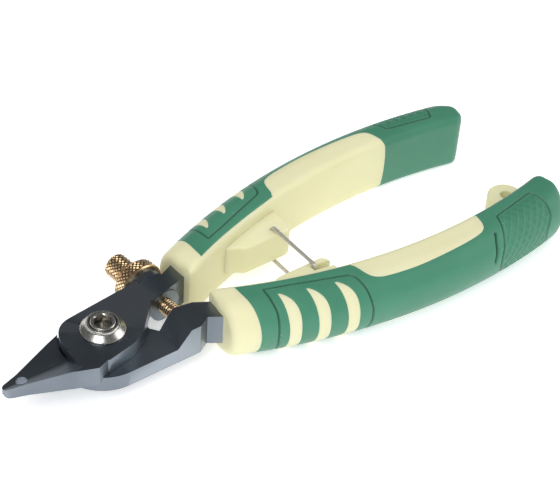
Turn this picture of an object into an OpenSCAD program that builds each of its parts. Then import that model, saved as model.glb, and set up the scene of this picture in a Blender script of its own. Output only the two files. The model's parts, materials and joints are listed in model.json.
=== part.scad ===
// Adjustable wire stripper: two lapped steel halves with moulded grips, a pivot screw,
// a stop screw with its lock nut, and a wire bail that locks the handles shut.
// X runs from the pivot to the handles, Y to the upper half's handle, Z up.
// The origin is on the pivot axis, at the plane that the closed tool lies on.

/* [Jaws] */
// Pivot axis to the tip of the jaws
jaw_reach = 27.8; // [24:0.1:33]
// Half width of the jaws at the hub
jaw_root_w = 7.2; // [6:0.1:8.6]
// Half width of the jaws near the tip
jaw_tip_w = 1.3; // [1:0.1:1.6]
// Half thickness of the cutting edges
edge_h = 1.2; // [1:0.1:1.5]
// Rise of the bevel on each jaw, per millimetre from the edge
bevel_rise = 0.47; // [0.35:0.01:0.55]
// Radius of the stripping notch
notch_r = 1.4; // [1:0.1:1.7]
// Tip of the jaws to the notch
notch_back = 4.9; // [4:0.1:6]
// Gap between the closed edges
seam_gap = 0.06; // [0.04:0.01:0.1]

/* [Hub] */
// Thickness of each lapped plate
plate_t = 4.3; // [3.6:0.1:5.2]
// Radius of the upper plate's disc
upper_disc_r = 10.4; // [9.6:0.1:10.8]
// Radius of the lower plate's disc
lower_disc_r = 11.8; // [11:0.1:12.2]
// Radius of the corner between the upper disc and the outer edge
corner_r = 6; // [4:0.5:7]
// Distance of the pivot axis from the jaws' centre line
pivot_off = 1.6; // [1.2:0.1:2]
// Gap between the lapped plates
lap_gap = 0.08; // [0.05:0.01:0.15]
// Play around a disc that turns beside a jaw
disc_play = 0.3; // [0.25:0.05:0.5]
// Radial play of turning and sliding fits
fit_play = 0.05; // [0.02:0.01:0.09]

/* [Pivot] */
// Radius of the pivot screw's shank
shank_r = 2.5; // [2.2:0.1:3]
// Radius of the pivot screw's head
head_r = 3.1; // [2.9:0.1:3.6]
// Width of the hex socket across its flats
socket_af = 4; // [3:0.5:4.5]
// Depth of the hex socket
socket_deep = 2.4; // [2:0.1:3]
// Radius of the collar at its foot
collar_r = 5.5; // [5:0.1:6.4]
// Height of the collar
collar_h = 2.3; // [2:0.1:2.8]
// Width of the pivot nut across its flats
nut_af = 8; // [7.5:0.5:9]
// Thickness of the spring washer
washer_t = 0.8; // [0.5:0.1:1]

/* [Return spring] */
// Radius of the spring's ring
ring_r = 6; // [5.6:0.1:6.6]
// Radius of the spring's wire
ring_wire_r = 0.45; // [0.35:0.05:0.5]
// Length of the spring's two bent ends
ring_pin = 1.6; // [1.2:0.1:2]

/* [Stop screw] */
// Distance of the stop screw from the pivot, along the tool
stop_x = 18.5; // [17.5:0.1:19.5]
// Angle of the stop screw from square across the tool
stop_lean = 5.7; // [4:0.1:7]
// Radius of the threaded rod
rod_r = 2; // [1.7:0.1:2.3]
// Length of the rod from the half's outer edge to its tip
rod_in = 11.6; // [9.8:0.1:12]
// Radius of the boss that carries the rod
stop_boss_r = 4.3; // [3.8:0.1:4.6]
// Radius of the round seat under the lock nut
seat_r = 5.2; // [4.8:0.1:5.6]
// Height of the round seat
seat_h = 0.9; // [0.6:0.1:1.2]
// Radius of the lock nut
lock_r = 6.1; // [5.4:0.1:6.6]
// Thickness of the lock nut
lock_t = 3.3; // [2.8:0.1:4]
// Clear length of rod between the lock nut and the knob
knob_gap = 2.2; // [1.9:0.1:3]
// Radius of the knob
knob_r = 3.15; // [2.7:0.05:3.7]
// Length of the knob
knob_len = 5.4; // [4.5:0.1:6.5]

/* [Handles] */
// Pivot axis to the ends of the grips
handle_reach = 125.8; // [108:0.1:140]
// Outer radius of the bowed grips
bow_r = 163; // [145:1:190]
// Distance of the widest point from the pivot
bow_x = 91; // [84:0.5:98]
// Half width of the tool at its widest point
bow_half = 29.8; // [28:0.1:33]
// Width of a grip
grip_w = 12.2; // [11:0.1:14]
// Thickness of a grip
grip_t = 16.2; // [15:0.1:19]
// Width of the rounded outer side of a grip
crown_w = 6.8; // [5:0.1:8]
// Radius of a grip's inner edges
edge_r = 2; // [1.5:0.1:2.4]
// Radius of the rounded outer corner at a grip's end
end_r = 6; // [5:0.1:7]
// Distance of the grips' front faces from the pivot
collar_x = 27.2; // [26:0.1:29]
// Angle of the front faces from square across the tool
collar_lean = 9; // [6:0.5:12]
// Width of the steel tang where it enters the grip
tang_w = 5.8; // [5:0.1:6.6]
// Length of the slim tang inside the grip
tang_len = 46; // [38:1:56]

/* [Covers] */
// Thickness of the soft cover
cover_t = 1.4; // [1:0.1:1.7]
// Distance of the cover's front edge from the pivot
panel_x = 32; // [31:0.1:34]
// Width of the bare strip beside the front panel
strip_w = 1.8; // [1.4:0.1:3]
// Width of the bare window behind the front panel
window_w = 7.4; // [6:0.1:8]
// Distance of the window's front end from the pivot
window_x0 = 61.5; // [60:0.5:64]
// Distance of the window's rear end from the pivot
window_x1 = 98; // [94:0.5:101]
// Number of ribs that show through each cover
rib_count = 3; // [2:1:3]
// Distance of the first rib from the pivot
rib_x = 41; // [39:0.1:42]
// Spacing of the ribs
rib_step = 6.9; // [6:0.1:7.2]
// Width of a rib on the outer side
rib_w = 3; // [2.4:0.1:3.4]
// Length of a rib over the face where it is long
rib_long = 6.6; // [5:0.1:7.5]
// Length of a rib over the face where it is short
rib_short = 3.6; // [3:0.1:4.5]

/* [Bail] */
// Distance of the bail's hole from the pivot
bail_x = 54.9; // [53.5:0.1:56]
// Distance of the bail's ends from the centre line
bail_y = 8.7; // [8.2:0.1:9.2]
// Radius of the bail's wire
wire_r = 0.5; // [0.4:0.05:0.6]
// Length of the bail's ends inside the boss
bail_pin = 3.2; // [2.4:0.1:3.6]
// Inner radius of the bail's bends
bend_r = 0.5; // [0.4:0.1:0.8]
// Half height of the bosses that carry the bail
boss_h = 4.3; // [3.8:0.1:5]
// Gap between a boss and the bail's arms
arm_play = 0.15; // [0.1:0.05:0.3]
// Distance of the bosses' inner faces from the centre line
boss_face = 6.2; // [5.8:0.1:6.8]
// Distance of the bosses' front ends from the pivot
boss_x0 = 45; // [43:0.1:47]
// Distance of the bosses' rear ends from the pivot
boss_x1 = 59.8; // [59:0.1:61]
// Play around the bail's bar in its hook slot
slot_play = 0.3; // [0.2:0.05:0.4]
// Angle that the handles open
open_max = 12; // [8:1:14]
// Turn of the bail for each degree that the handles open
bail_ratio = 8.75; // [7:0.25:9]

/* [Hanging eye] */
// Distance of the eye from the pivot
eye_x = 115.5; // [110:0.5:118]
// Distance of the eye's centre from the grip's inner side
eye_out = 3; // [2.8:0.1:5]
// Outer radius of the eye
eye_r = 4.8; // [4.4:0.1:5.4]
// Radius of the eye's hole
eye_hole_r = 1.6; // [1.4:0.1:2]
// Half height of the eye
eye_h = 3; // [2.4:0.1:4]

/* [Hidden] */
$fn = 64;
big = 400;
mid_z = grip_t / 2;
half_gap = lap_gap / 2;
grip_in_r = bow_r - grip_w;
bow_y = bow_half - bow_r;
tang_in_r = grip_in_r + (grip_w - tang_w) / 2 - 1.2;
slim_w = tang_w - 1.4;
slim_h = plate_t / 2;
notch_x = notch_back - jaw_reach;
root_x = -11.8;
ramp_x = 13.2;
ramp_len = 3.8;
arm_z = boss_h + arm_play + wire_r;
spring_arc = 270;
spring_start = 120;
edge_slope = 0.11;
edge_y = 9.5;
lower_edge_y = 10.3;
stop_y = edge_y + edge_slope * stop_x;
collar_foot = plate_t + half_gap;
head_z = collar_foot + 0.7;

// Angle of a place on the bow, from the widest point, positive to the rear
function bow_a(x, r) = asin((x - bow_x) / r);
// Height of the bow at a place, at one radius
function bow_at(x, r) = bow_y + sqrt(r * r - (x - bow_x) * (x - bow_x));
function turned(p, a) = [p.x * cos(a) - p.y * sin(a), p.x * sin(a) + p.y * cos(a)];
// Places of the bail's bar beside the lower half while the handles open
function bar_at(a) =
    let (pivot = [0, pivot_off])
    let (hole = pivot + turned([bail_x, bail_y] - pivot, a))
    hole + turned([0, -2 * bail_y], a * (1 + bail_ratio));

// Outline of a grip cut across its length, set in by a margin
function grip_section(m) =
    let (h = grip_t / 2 - m)
    let (e = edge_r - m / 2)
    let (x0 = grip_in_r + m)
    concat(
        [for (a = [0:30:90]) [x0 + e - e * cos(a), h - e + e * sin(a)]],
        [for (a = [90:-10:-90]) [bow_r - crown_w + (crown_w - m) * cos(a), h * sin(a)]],
        [for (a = [90:-30:0]) [x0 + e - e * cos(a), e - h - e * sin(a)]]
    );

// Outline that rounds the end of a grip, in the frame of the end
function end_outline(m) =
    let (o = end_r - m)
    let (i = end_r / 2 - m / 2)
    concat(
        [[-big, bow_r + 20], [-end_r, bow_r + 20]],
        [for (a = [90:-15:0]) [o * cos(a) - end_r, bow_r - end_r + o * sin(a)]],
        [for (a = [0:-15:-90]) [i * cos(a) - i - m, grip_in_r + m + i + i * sin(a)]],
        [[-i - m, 0], [-big, 0]]
    );

// Moves a piece drawn about the centre line into the shared frame
module laid() {
    translate([0, -pivot_off, mid_z]) children();
}

// Turns a piece over the centre line, for the lower half
module flipped() {
    rotate([180, 0, 0]) children();
}

module at_pivot() {
    translate([0, 0, mid_z]) children();
}

// Places a piece along the stop screw, with z = 0 at the half's outer edge
module at_stop() {
    translate([stop_x, stop_y, 0]) rotate([-90, 0, stop_lean]) children();
}

// Sweeps a section along the bow between two angles
module bowed(a0, a1) {
    translate([bow_x, bow_y, 0]) rotate([0, 0, 90 - a1])
        rotate_extrude(angle = a1 - a0, $fn = 180) children();
}

// Frame with its y axis along the bow's radius at one angle
module at_bow(a) {
    translate([bow_x, bow_y, 0]) rotate([0, 0, -a]) children();
}

module slab(h0, h1) {
    translate([0, 0, h0]) linear_extrude(h1 - h0) children();
}

// Half of the plane that lies behind a leaning line
module behind(x, lean) {
    translate([x, 0, 0]) rotate([0, 0, lean]) translate([0, -big / 2, -big / 2])
        cube([big, big, big]);
}

// ---- Steel halves ----

module jaw_plan() {
    tip_r = jaw_tip_w;
    polygon(concat(
        [[-8, -seam_gap / 2], [-4, -7.5], [-7.6, -8.8], [root_x, -jaw_root_w]],
        [[notch_x, -jaw_tip_w - 1.2]],
        [for (a = [80:-20:0]) [tip_r - jaw_reach - tip_r * cos(a), -tip_r * sin(a) - seam_gap / 2]]
    ));
}

// One jaw: flat edge side below, bevel above, opened beside the other half's disc
module jaw(disc_r, pivot_side) {
    difference() {
        slab(-edge_h, plate_t) jaw_plan();
        rotate([-atan(bevel_rise), 0, 0]) translate([-big, -big / 2, edge_h * cos(atan(bevel_rise))])
            cube([big - 10.8, big, 20]);
        translate([0, pivot_side * pivot_off, -10])
            cylinder(r = disc_r + disc_play, h = 10 + half_gap, $fn = 96);
    }
}

module upper_plan() {
    lean = atan(edge_slope);
    rise = (edge_y - pivot_off) * cos(lean) - corner_r;
    c = [0, pivot_off] + turned([-sqrt((upper_disc_r - corner_r) ^ 2 - rise ^ 2), rise], lean);
    last = atan2(rise, -sqrt((upper_disc_r - corner_r) ^ 2 - rise ^ 2)) + lean - 8;
    difference() {
        union() {
            intersection() {
                translate([0, pivot_off]) circle(r = upper_disc_r, $fn = 96);
                // Straight outer edge with a rounded corner into the disc
                polygon(concat(
                    [[20, edge_y + 20 * edge_slope]],
                    [for (a = [90:8:last]) c + corner_r * [cos(a + lean), sin(a + lean)]],
                    [c + corner_r * [cos(last), sin(last)] + 12 * [-sin(last), cos(last)]],
                    [[-20, -20], [20, -20]]
                ));
            }
            polygon([[0, -6], [12, -4], [19, 3], [19, stop_y], [0, edge_y], [-4, 0]]);
        }
        // Flats beside the jaw and in front of the stop
        polygon([[-12, -9.5], [3.7, -6.36], [7.9, -3.8], [14.5, 3.3], [30, 7.1], [30, -20], [-12, -20]]);
    }
}

module upper_tang_plan() {
    polygon([
        [17.5, 4], [22.9, 5.2],
        [collar_x + 4, bow_at(collar_x + 4, tang_in_r)],
        [collar_x + 3, bow_at(collar_x + 3, tang_in_r + tang_w)],
        [22.3, 9.9], [20.7, edge_y + 20.7 * edge_slope], [17.5, edge_y + 17.5 * edge_slope]
    ]);
}

// The lower half's plans are drawn turned over, as flipped() shows them
module lower_plan() {
    intersection() {
        translate([0, -pivot_off]) circle(r = lower_disc_r, $fn = 96);
        polygon([[-20, 20], [20, 20], [20, -edge_y - 20 * edge_slope], [-20, 20 * edge_slope - edge_y]]);
    }
    polygon([[0, 0], [9, -3], [ramp_x, 2.5], [ramp_x + 2.6, 2], [20, 2], [19.6, lower_edge_y], [0, 10.2]]);
}

module lower_tang_plan() {
    polygon([
        [ramp_x, 2.5], [ramp_x + 2.6, 2], [18.6, 1.7], [22.6, 2.4],
        [collar_x + 4, bow_at(collar_x + 4, tang_in_r)],
        [collar_x + 3, bow_at(collar_x + 3, tang_in_r + tang_w)],
        [22.7, 8.6], [20.9, 9.6], [19.6, lower_edge_y], [ramp_x, lower_edge_y]
    ]);
}

// Ramp from the lap plane down to the full thickness of a tang
module ramp_block(x) {
    rotate([90, 0, 0]) translate([0, 0, -big / 2]) linear_extrude(big)
        polygon([[x, half_gap], [x, 0], [x + ramp_len, -plate_t], [x + 60, -plate_t], [x + 60, half_gap]]);
}

// Slim end of the tang, inside the grip
module slim_tang(play) {
    a0 = bow_a(collar_x + 3, grip_in_r);
    a1 = a0 + tang_len / grip_in_r * 180 / PI;
    bowed(a0, a1) translate([tang_in_r + (tang_w - slim_w) / 2 - play, -slim_h - play])
        square([slim_w + 2 * play, 2 * (slim_h + play)]);
}

// Wide end of the tang, as the grips' pockets see it
module wide_tang(play) {
    slab(-plate_t - play, plate_t + play) children();
}

// Bore, spring recess and the seam's relief, cut from one half
module pivot_bore(side) {
    translate([0, side * pivot_off, -20]) cylinder(r = shank_r + fit_play, h = 40);
}

module spring_recess(side) {
    r = ring_r;
    w = ring_wire_r + 0.15;
    translate([0, side * pivot_off, -w]) difference() {
        cylinder(r = r + w, h = 2 * w);
        translate([0, 0, -1]) cylinder(r = r - w, h = 2 * w + 2);
    }
}

module notch() {
    translate([notch_x, 0, -10]) cylinder(r = notch_r, h = 20);
}

// Shallow V along the underside of the closed edges
module edge_relief() {
    rotate([90, 0, -90]) translate([0, 0, 13]) linear_extrude(20)
        polygon([[0, -0.3], [6, -3.9], [6, -9], [-6, -9], [-6, -3.9]]);
}

module upper_half() {
    pin_a = spring_start + spring_arc;
    slot_w = 2 * (ring_wire_r + 0.1);
    color([0.2, 0.22, 0.24]) laid() difference() {
        union() {
            slab(half_gap, plate_t) upper_plan();
            jaw(lower_disc_r, 1);
            slab(0, plate_t) upper_tang_plan();
            slab(-plate_t, half_gap) upper_tang_plan();
            at_stop() translate([0, 0, -7.6]) cylinder(r = stop_boss_r, h = 7.6);
            at_stop() translate([0, 0, -1.5]) cylinder(r = seat_r, h = 1.5 + seat_h);
            slim_tang(0);
        }
        pivot_bore(1);
        spring_recess(1);
        // Slot that the spring's upper end moves along
        translate([0, pivot_off, 0]) rotate([0, 0, pin_a - open_max - 4])
            rotate_extrude(angle = open_max + 8) translate([ring_r - slot_w / 2, -1])
                square([slot_w, 1 + half_gap + ring_pin + 0.6]);
        at_stop() translate([0, 0, -20]) cylinder(r = rod_r + fit_play, h = 40);
        notch();
        edge_relief();
    }
}

module lower_half() {
    color([0.22, 0.24, 0.26]) laid() difference() {
        flipped() union() {
            slab(half_gap, plate_t) lower_plan();
            jaw(upper_disc_r, -1);
            slab(0, plate_t) lower_tang_plan();
            intersection() {
                slab(-plate_t, half_gap) lower_tang_plan();
                ramp_block(ramp_x);
            }
            slim_tang(0);
        }
        pivot_bore(1);
        spring_recess(1);
        // Hole for the spring's fixed end
        translate([0, pivot_off, 0]) rotate([0, 0, spring_start]) translate([ring_r, 0, -ring_pin - 0.6])
            cylinder(r = ring_wire_r + fit_play, h = ring_pin + 1);
        notch();
        edge_relief();
    }
}

// ---- Pivot ----

module pivot_screw() {
    color([0.8, 0.8, 0.78]) at_pivot() difference() {
        union() {
            translate([0, 0, -mid_z]) cylinder(r = shank_r, h = mid_z + head_z);
            translate([0, 0, head_z]) cylinder(r = head_r, h = collar_h - 0.7);
            translate([0, 0, head_z + collar_h - 0.7]) cylinder(r1 = head_r, r2 = head_r - 0.3, h = 0.3);
        }
        translate([0, 0, head_z + collar_h - 0.4 - socket_deep])
            cylinder(r = socket_af / sqrt(3), h = socket_deep + 1, $fn = 6);
    }
}

module pivot_collar() {
    rim_r = head_r + 0.2;
    color([0.85, 0.85, 0.82]) at_pivot() translate([0, 0, collar_foot]) difference() {
        union() {
            cylinder(r = collar_r, h = 0.3);
            translate([0, 0, 0.3]) cylinder(r1 = collar_r, r2 = rim_r + 0.5, h = collar_h - 0.3);
        }
        translate([0, 0, -1]) cylinder(r = shank_r + fit_play, h = 10);
        translate([0, 0, head_z - collar_foot]) cylinder(r = rim_r, h = 10);
    }
}

module spring_washer() {
    color([0.6, 0.6, 0.6]) at_pivot() translate([0, 0, -plate_t - washer_t]) difference() {
        cylinder(r = nut_af / 2, h = washer_t);
        translate([0, 0, -1]) cylinder(r = shank_r + fit_play, h = washer_t + 2);
        // Slanted cut that makes the washer springy
        translate([shank_r - 0.5, -0.3, -1]) rotate([-20, 0, 0]) cube([nut_af, 0.4, washer_t + 3]);
    }
}

module pivot_nut() {
    h = mid_z - plate_t - washer_t;
    color([0.75, 0.75, 0.73]) difference() {
        cylinder(r = nut_af / sqrt(3), h = h, $fn = 6);
        translate([0, 0, -1]) cylinder(r = shank_r + fit_play, h = h + 2);
    }
}

// Open ring in the lap, with one end bent down and the other bent up
module return_spring() {
    color([0.7, 0.7, 0.7]) at_pivot() {
        rotate([0, 0, spring_start]) rotate_extrude(angle = spring_arc)
            translate([ring_r, 0]) circle(r = ring_wire_r, $fn = 24);
        rotate([0, 0, spring_start]) translate([ring_r, 0, -ring_pin])
            cylinder(r = ring_wire_r, h = ring_pin, $fn = 24);
        rotate([0, 0, spring_start + spring_arc]) translate([ring_r, 0, 0])
            cylinder(r = ring_wire_r, h = ring_pin, $fn = 24);
    }
}

// ---- Stop screw ----

module stop_rod() {
    knob_z = seat_h + lock_t + knob_gap;
    color([0.8, 0.65, 0.4]) laid() at_stop() {
        translate([0, 0, -rod_in]) cylinder(r = rod_r, h = rod_in + knob_z + knob_len / 2);
        translate([0, 0, -rod_in - 0.4]) cylinder(r1 = rod_r - 0.4, r2 = rod_r, h = 0.4);
    }
}

module stop_knob() {
    knob_z = seat_h + lock_t + knob_gap;
    color([0.85, 0.7, 0.45]) laid() at_stop() translate([0, 0, knob_z]) difference() {
        union() {
            cylinder(r1 = knob_r - 0.4, r2 = knob_r, h = 0.4);
            translate([0, 0, 0.4]) cylinder(r = knob_r, h = knob_len - 1);
            translate([0, 0, knob_len - 0.6]) cylinder(r1 = knob_r, r2 = knob_r - 0.6, h = 0.6);
        }
        translate([0, 0, -1]) cylinder(r = rod_r + fit_play, h = 1 + knob_len / 2 + fit_play);
    }
}

module lock_nut() {
    color([0.85, 0.7, 0.45]) laid() at_stop() translate([0, 0, seat_h + fit_play]) difference() {
        union() {
            cylinder(r1 = lock_r - 0.5, r2 = lock_r, h = 0.5);
            translate([0, 0, 0.5]) cylinder(r = lock_r, h = lock_t - 1);
            translate([0, 0, lock_t - 0.5]) cylinder(r1 = lock_r, r2 = lock_r - 0.5, h = 0.5);
        }
        translate([0, 0, -1]) cylinder(r = rod_r + fit_play, h = lock_t + 2);
    }
}

// ---- Bail ----

// Elbow that joins an arm to an upright, with its upright at the origin
module bail_elbow() {
    r = bend_r + wire_r;
    translate([0, -r, -r]) rotate([0, -90, 0])
        rotate_extrude(angle = 90) translate([r, 0]) circle(r = wire_r, $fn = 24);
}

module bail_side() {
    r = bend_r + wire_r;
    translate([bail_x, bail_y, 0]) {
        translate([0, 0, arm_z - r - bail_pin]) cylinder(r = wire_r, h = bail_pin, $fn = 24);
        translate([0, 0, arm_z]) bail_elbow();
    }
    translate([bail_x, bail_y - r, arm_z]) rotate([90, 0, 0])
        cylinder(r = wire_r, h = 2 * bail_y - 2 * r, $fn = 24);
    translate([bail_x, -bail_y, 0]) {
        cylinder(r = wire_r, h = arm_z - r, $fn = 24);
        translate([0, 0, arm_z]) mirror([0, 1, 0]) bail_elbow();
    }
}

module wire_bail() {
    color([0.75, 0.75, 0.75]) laid() {
        bail_side();
        mirror([0, 0, 1]) bail_side();
    }
}

// ---- Grips ----

module grip_blank(m) {
    a0 = bow_a(collar_x - 9, bow_r);
    a1 = bow_a(handle_reach, bow_r - grip_w / 2);
    intersection() {
        bowed(a0, a1) polygon(grip_section(m));
        at_bow(a1) slab(-big / 2, big / 2) polygon(end_outline(m));
        behind(collar_x, collar_lean);
    }
}

// Ribs of the core that show through the cover, long on the upper face
module ribs() {
    for (i = [0:rib_count - 1]) at_bow(bow_a(rib_x + i * rib_step, bow_r)) {
        slab(0, grip_t)
            polygon([[0, bow_r + 1], [rib_w, bow_r + 1], [rib_w, bow_r - 1.5],
                [rib_w / 2, bow_r - rib_long * 0.7], [-0.4, bow_r - rib_long], [-1, bow_r - rib_long],
                [-1, bow_r - rib_long + 0.6], [-0.2, bow_r - 3]]);
        slab(-grip_t, 0)
            polygon([[0, bow_r + 1], [rib_w, bow_r + 1], [rib_w, bow_r - rib_short + 1],
                [rib_w * 0.7, bow_r - rib_short], [rib_w * 0.3, bow_r - rib_short],
                [0, bow_r - rib_short + 1]]);
    }
}

// Where the core reaches the surface
module bare_regions() {
    a_front = bow_a(collar_x - 12, bow_r);
    a_window = bow_a(window_x0, bow_r);
    a_end = bow_a(window_x1, bow_r);
    difference() {
        behind(0, 0);
        behind(panel_x, 0);
    }
    bowed(a_front, a_window) translate([grip_in_r - 5, -grip_t]) square([5 + strip_w, 2 * grip_t]);
    bowed(a_window, a_end) translate([grip_in_r - 5, -grip_t]) square([5 + window_w, 2 * grip_t]);
    ribs();
}

module cover() {
    difference() {
        grip_blank(0);
        grip_blank(cover_t);
        bare_regions();
    }
}

module bail_boss() {
    intersection() {
        slab(-boss_h, boss_h) polygon([
            [boss_x0 - 5, bow_at(boss_x0 - 5, grip_in_r) - 0.5], [boss_x0, boss_face],
            [boss_x1 - 2.2, boss_face], [boss_x1 - 0.6, boss_face + 0.7], [boss_x1, boss_face + 2.2],
            [boss_x1, 20], [boss_x0 - 5, 20]
        ]);
        translate([bow_x, bow_y, -big / 2]) cylinder(r = grip_in_r + 2, h = big, $fn = 180);
    }
}

module core() {
    union() {
        grip_blank(cover_t);
        intersection() {
            grip_blank(0);
            bare_regions();
        }
        bail_boss();
    }
}

// Slot behind the hook finger, along the way that the bail's bar takes
module hook_slot() {
    r = wire_r + slot_play;
    steps = 6;
    p = [for (i = [0:steps]) bar_at(open_max * i / (2 * steps))];
    way = [for (i = [1:steps]) atan2(p[i].y - p[i - 1].y, p[i].x - p[i - 1].x)];
    slab(-10, 10) polygon(concat(
        [for (i = [0:steps - 1]) p[i] + r * [-sin(way[i]), cos(way[i])]],
        [for (i = [steps - 1:-1:0]) p[i] + r * [sin(way[i]), -cos(way[i])]],
        [for (a = [-110:-20:-250]) p[0] + r * [cos(way[0] + a), sin(way[0] + a)]]
    ));
}

module hanging_eye() {
    y = bow_at(eye_x, grip_in_r);
    translate([eye_x, y - eye_out, -eye_h]) cylinder(r = eye_r, h = 2 * eye_h);
    translate([eye_x - eye_r, y - eye_out, -eye_h]) cube([2 * eye_r, eye_out + 2, 2 * eye_h]);
}

module eye_hole() {
    translate([eye_x, bow_at(eye_x, grip_in_r) - eye_out, -10]) cylinder(r = eye_hole_r, h = 20);
}

module upper_grip_core() {
    color([0.87, 0.85, 0.66]) laid() difference() {
        mirror([0, 0, 1]) core();
        slim_tang(fit_play);
        wide_tang(fit_play) upper_tang_plan();
        translate([bail_x, bail_y, -10]) cylinder(r = wire_r + fit_play, h = 20);
    }
}

module lower_grip_core() {
    color([0.87, 0.85, 0.66]) laid() difference() {
        mirror([0, 1, 0]) union() {
            core();
            hanging_eye();
        }
        flipped() slim_tang(fit_play);
        flipped() wide_tang(fit_play) lower_tang_plan();
        mirror([0, 1, 0]) eye_hole();
        hook_slot();
    }
}

module upper_grip_cover() {
    color([0.27, 0.53, 0.38]) laid() mirror([0, 0, 1]) cover();
}

module lower_grip_cover() {
    color([0.27, 0.53, 0.38]) laid() mirror([0, 1, 0]) difference() {
        cover();
        hanging_eye();
    }
}

upper_half();
lower_half();
pivot_screw();
pivot_collar();
spring_washer();
pivot_nut();
return_spring();
stop_rod();
stop_knob();
lock_nut();
wire_bail();
upper_grip_core();
lower_grip_core();
upper_grip_cover();
lower_grip_cover();
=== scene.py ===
import json
import math
import bmesh
import bpy
import numpy as np
from mathutils import Matrix, Vector


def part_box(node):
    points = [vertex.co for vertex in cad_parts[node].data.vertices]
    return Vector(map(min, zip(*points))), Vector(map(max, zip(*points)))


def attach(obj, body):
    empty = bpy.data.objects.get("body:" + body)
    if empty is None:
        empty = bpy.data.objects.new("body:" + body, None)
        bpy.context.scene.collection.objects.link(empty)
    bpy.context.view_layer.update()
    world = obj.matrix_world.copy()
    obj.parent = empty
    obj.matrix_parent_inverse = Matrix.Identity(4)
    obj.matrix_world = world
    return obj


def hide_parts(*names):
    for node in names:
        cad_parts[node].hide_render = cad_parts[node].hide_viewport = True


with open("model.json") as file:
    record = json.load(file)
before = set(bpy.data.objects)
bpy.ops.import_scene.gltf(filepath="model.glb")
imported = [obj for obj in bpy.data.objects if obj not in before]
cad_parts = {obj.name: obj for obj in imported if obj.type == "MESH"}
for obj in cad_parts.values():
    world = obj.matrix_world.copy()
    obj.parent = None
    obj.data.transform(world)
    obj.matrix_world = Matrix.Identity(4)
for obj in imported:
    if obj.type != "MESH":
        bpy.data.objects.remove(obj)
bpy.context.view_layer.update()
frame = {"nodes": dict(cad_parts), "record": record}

mm = 0.001


# Where things are, in millimetres, read from the frame

def boxOf(node):
    low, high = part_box(node)
    return np.array(low) / mm, np.array(high) / mm


def jointOf(name):
    return next(j for j in frame["record"]["behaviour"]["joints"] if j["name"] == name)


bailLow, bailHigh = boxOf("wire_bail")
coreLow, coreHigh = boxOf("upper_grip_core")
coverHigh = boxOf("upper_grip_cover")[1]
centreY = (bailLow[1] + bailHigh[1]) / 2      # line between the closed jaws
centreZ = (coreLow[2] + coreHigh[2]) / 2      # middle of the tool's thickness
bodyOf = {"upper": "upper_handle", "lower": "lower_handle"}


# Small helpers

def newObject(name, mesh):
    thing = bpy.data.objects.new(name, mesh)
    bpy.context.collection.objects.link(thing)
    return thing


def baked(thing, name):
    graph = bpy.context.evaluated_depsgraph_get()
    graph.update()
    mesh = bpy.data.meshes.new_from_object(thing.evaluated_get(graph))
    mesh.name = name
    place = thing.matrix_world.copy()
    bpy.data.objects.remove(thing)
    mesh.transform(place)
    return newObject(name, mesh)


def shadeByAngle(mesh, angle):
    mesh.shade_smooth()
    mesh.set_sharp_from_angle(angle=math.radians(angle))


def finishPiece(thing, body, nodes, material, smoothAngle=35):
    if smoothAngle:
        shadeByAngle(thing.data, smoothAngle)
    thing.data.materials.clear()
    thing.data.materials.append(material)
    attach(thing, body)
    if nodes:
        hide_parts(*nodes)
    print("piece", thing.name, len(thing.data.polygons), "faces")
    return thing


# Shader groups that several finishes share

def makeGroup(name, inputs, outputs):
    group = bpy.data.node_groups.new(name, "ShaderNodeTree")
    for label, value in inputs:
        kind = "NodeSocketColor" if isinstance(value, tuple) else "NodeSocketFloat"
        sock = group.interface.new_socket(label, in_out="INPUT", socket_type=kind)
        sock.default_value = value
    for label in outputs:
        kind = "NodeSocketColor" if label == "Color" else "NodeSocketFloat"
        group.interface.new_socket(label, in_out="OUTPUT", socket_type=kind)
    return group, group.nodes.new("NodeGroupInput"), group.nodes.new("NodeGroupOutput")


def addNode(tree, kind, settings=(), values=()):
    node = tree.nodes.new(kind)
    for key, value in dict(settings).items():
        setattr(node, key, value)
    for key, value in dict(values).items():
        node.inputs[key].default_value = value
    return node


def makeGrainGroup():
    # Cloudy colour drift, a fine grain for roughness and a height for the bump
    group, inside, outside = makeGroup(
        "finishGrain",
        [("Cloud Scale", 60.0), ("Grain Scale", 900.0), ("Dark", (0, 0, 0, 1)), ("Light", (1, 1, 1, 1)),
         ("Rough Low", 0.3), ("Rough High", 0.5)],
        ["Color", "Roughness", "Height"])
    place = addNode(group, "ShaderNodeTexCoord")
    cloud = addNode(group, "ShaderNodeTexNoise", values={"Detail": 4.0, "Roughness": 0.55})
    grain = addNode(group, "ShaderNodeTexNoise", values={"Detail": 3.0, "Roughness": 0.6})
    mix = addNode(group, "ShaderNodeMix", {"data_type": "RGBA"})
    rough = addNode(group, "ShaderNodeMapRange", values={"From Min": 0.3, "From Max": 0.7})
    steep = addNode(group, "ShaderNodeMapRange", values={"From Min": 0.3, "From Max": 0.7})
    for source, target in (
            (place.outputs["Object"], cloud.inputs["Vector"]),
            (place.outputs["Object"], grain.inputs["Vector"]),
            (inside.outputs["Cloud Scale"], cloud.inputs["Scale"]),
            (inside.outputs["Grain Scale"], grain.inputs["Scale"]),
            (cloud.outputs["Fac"], steep.inputs["Value"]),
            (steep.outputs["Result"], mix.inputs["Factor"]),
            (inside.outputs["Dark"], mix.inputs["A"]),
            (inside.outputs["Light"], mix.inputs["B"]),
            (grain.outputs["Fac"], rough.inputs["Value"]),
            (inside.outputs["Rough Low"], rough.inputs["To Min"]),
            (inside.outputs["Rough High"], rough.inputs["To Max"]),
            (mix.outputs["Result"], outside.inputs["Color"]),
            (rough.outputs["Result"], outside.inputs["Roughness"]),
            (grain.outputs["Fac"], outside.inputs["Height"])):
        group.links.new(source, target)
    return group


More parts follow.
